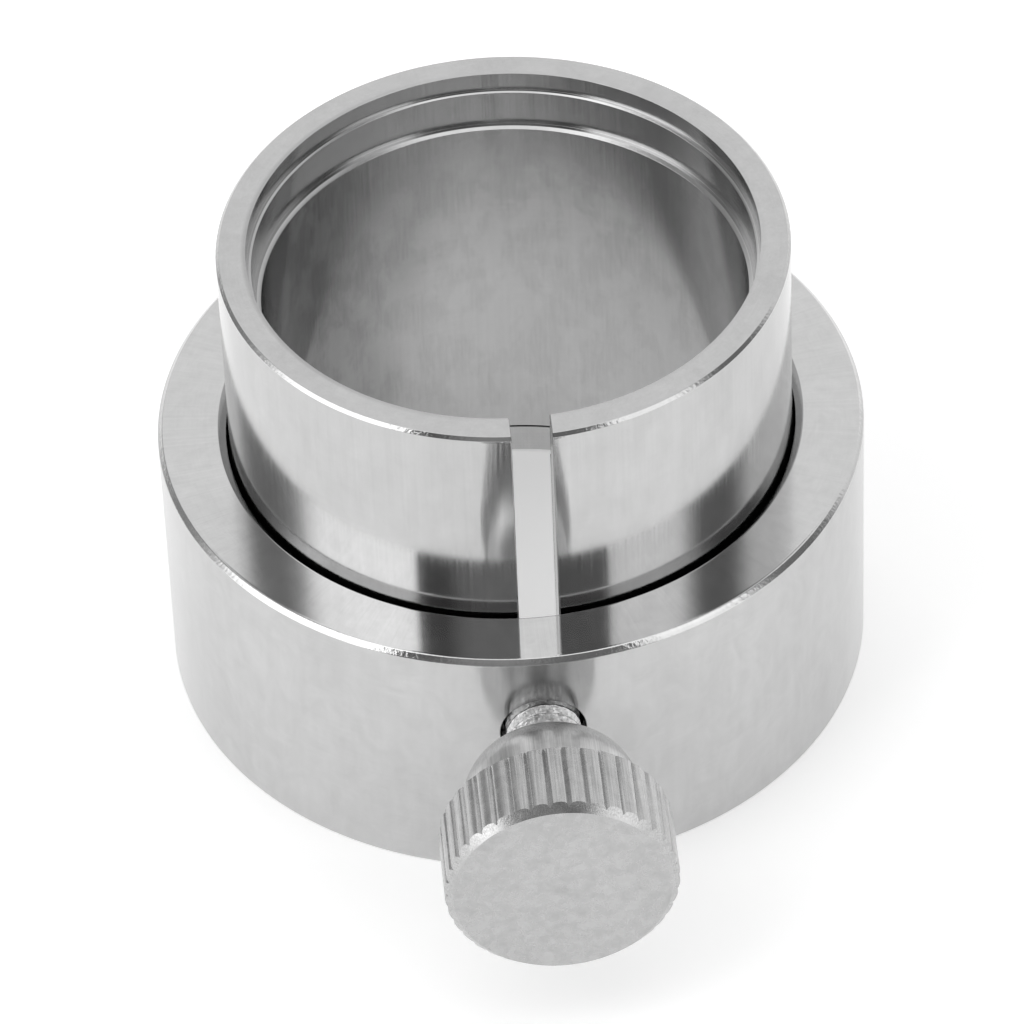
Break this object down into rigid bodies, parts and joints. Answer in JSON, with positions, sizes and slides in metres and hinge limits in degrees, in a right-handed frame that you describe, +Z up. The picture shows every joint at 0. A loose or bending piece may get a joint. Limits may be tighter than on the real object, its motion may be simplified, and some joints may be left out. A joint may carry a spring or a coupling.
{
  "type": "watch case press",
  "caption": "Split steel sleeve with a stepped mouth, standing in a thick ring and clamped by a knurled thumbscrew, that holds a round watch case under a press.",
  "frame": {"origin": "on the axis of the ring's bore, in the plane of the ring's foot that stands on the bench or press table", "axes": "+Z up along the bore; -Y along the thumbscrew, out from the ring towards the user; +X to the right as the thumbscrew points at the user"},
  "size_m": [0.0576, 0.075, 0.0419],
  "materials": {
    "ring_steel": "fine turned, bright, unplated",
    "sleeve_steel": "fine turned, bright, unplated",
    "stud_steel": "rough turned thread",
    "head_steel": "satin face, straight knurl"
  },
  "bodies": {
    "ring": {"base_ring": "ring_steel"},
    "sleeve": {"split_sleeve": "sleeve_steel"},
    "screw_stud": {"thumbscrew_stud": "stud_steel"},
    "screw_head": {"thumbscrew_head": "head_steel"}
  },
  "joints": [
    {"name": "sleeve_lift", "type": "slide", "parent": "ring", "child": "sleeve", "axis": [0, 0, 1], "range_m": [0, 0.025]},
    {"name": "screw_travel", "type": "slide", "parent": "ring", "child": "screw_stud", "axis": [0, -1, 0], "range_m": [0, 0.005]},
    {"name": "screw_turn", "type": "hinge", "parent": "screw_stud", "child": "screw_head", "pos_m": [0, -0.0402, 0.0154], "axis": [0, -1, 0], "range_deg": [0, 1800.1]}
  ],
  "couplings": [
    {"joint": "screw_turn", "follows": "screw_travel", "rad_per_m": 6283.2}
  ]
}
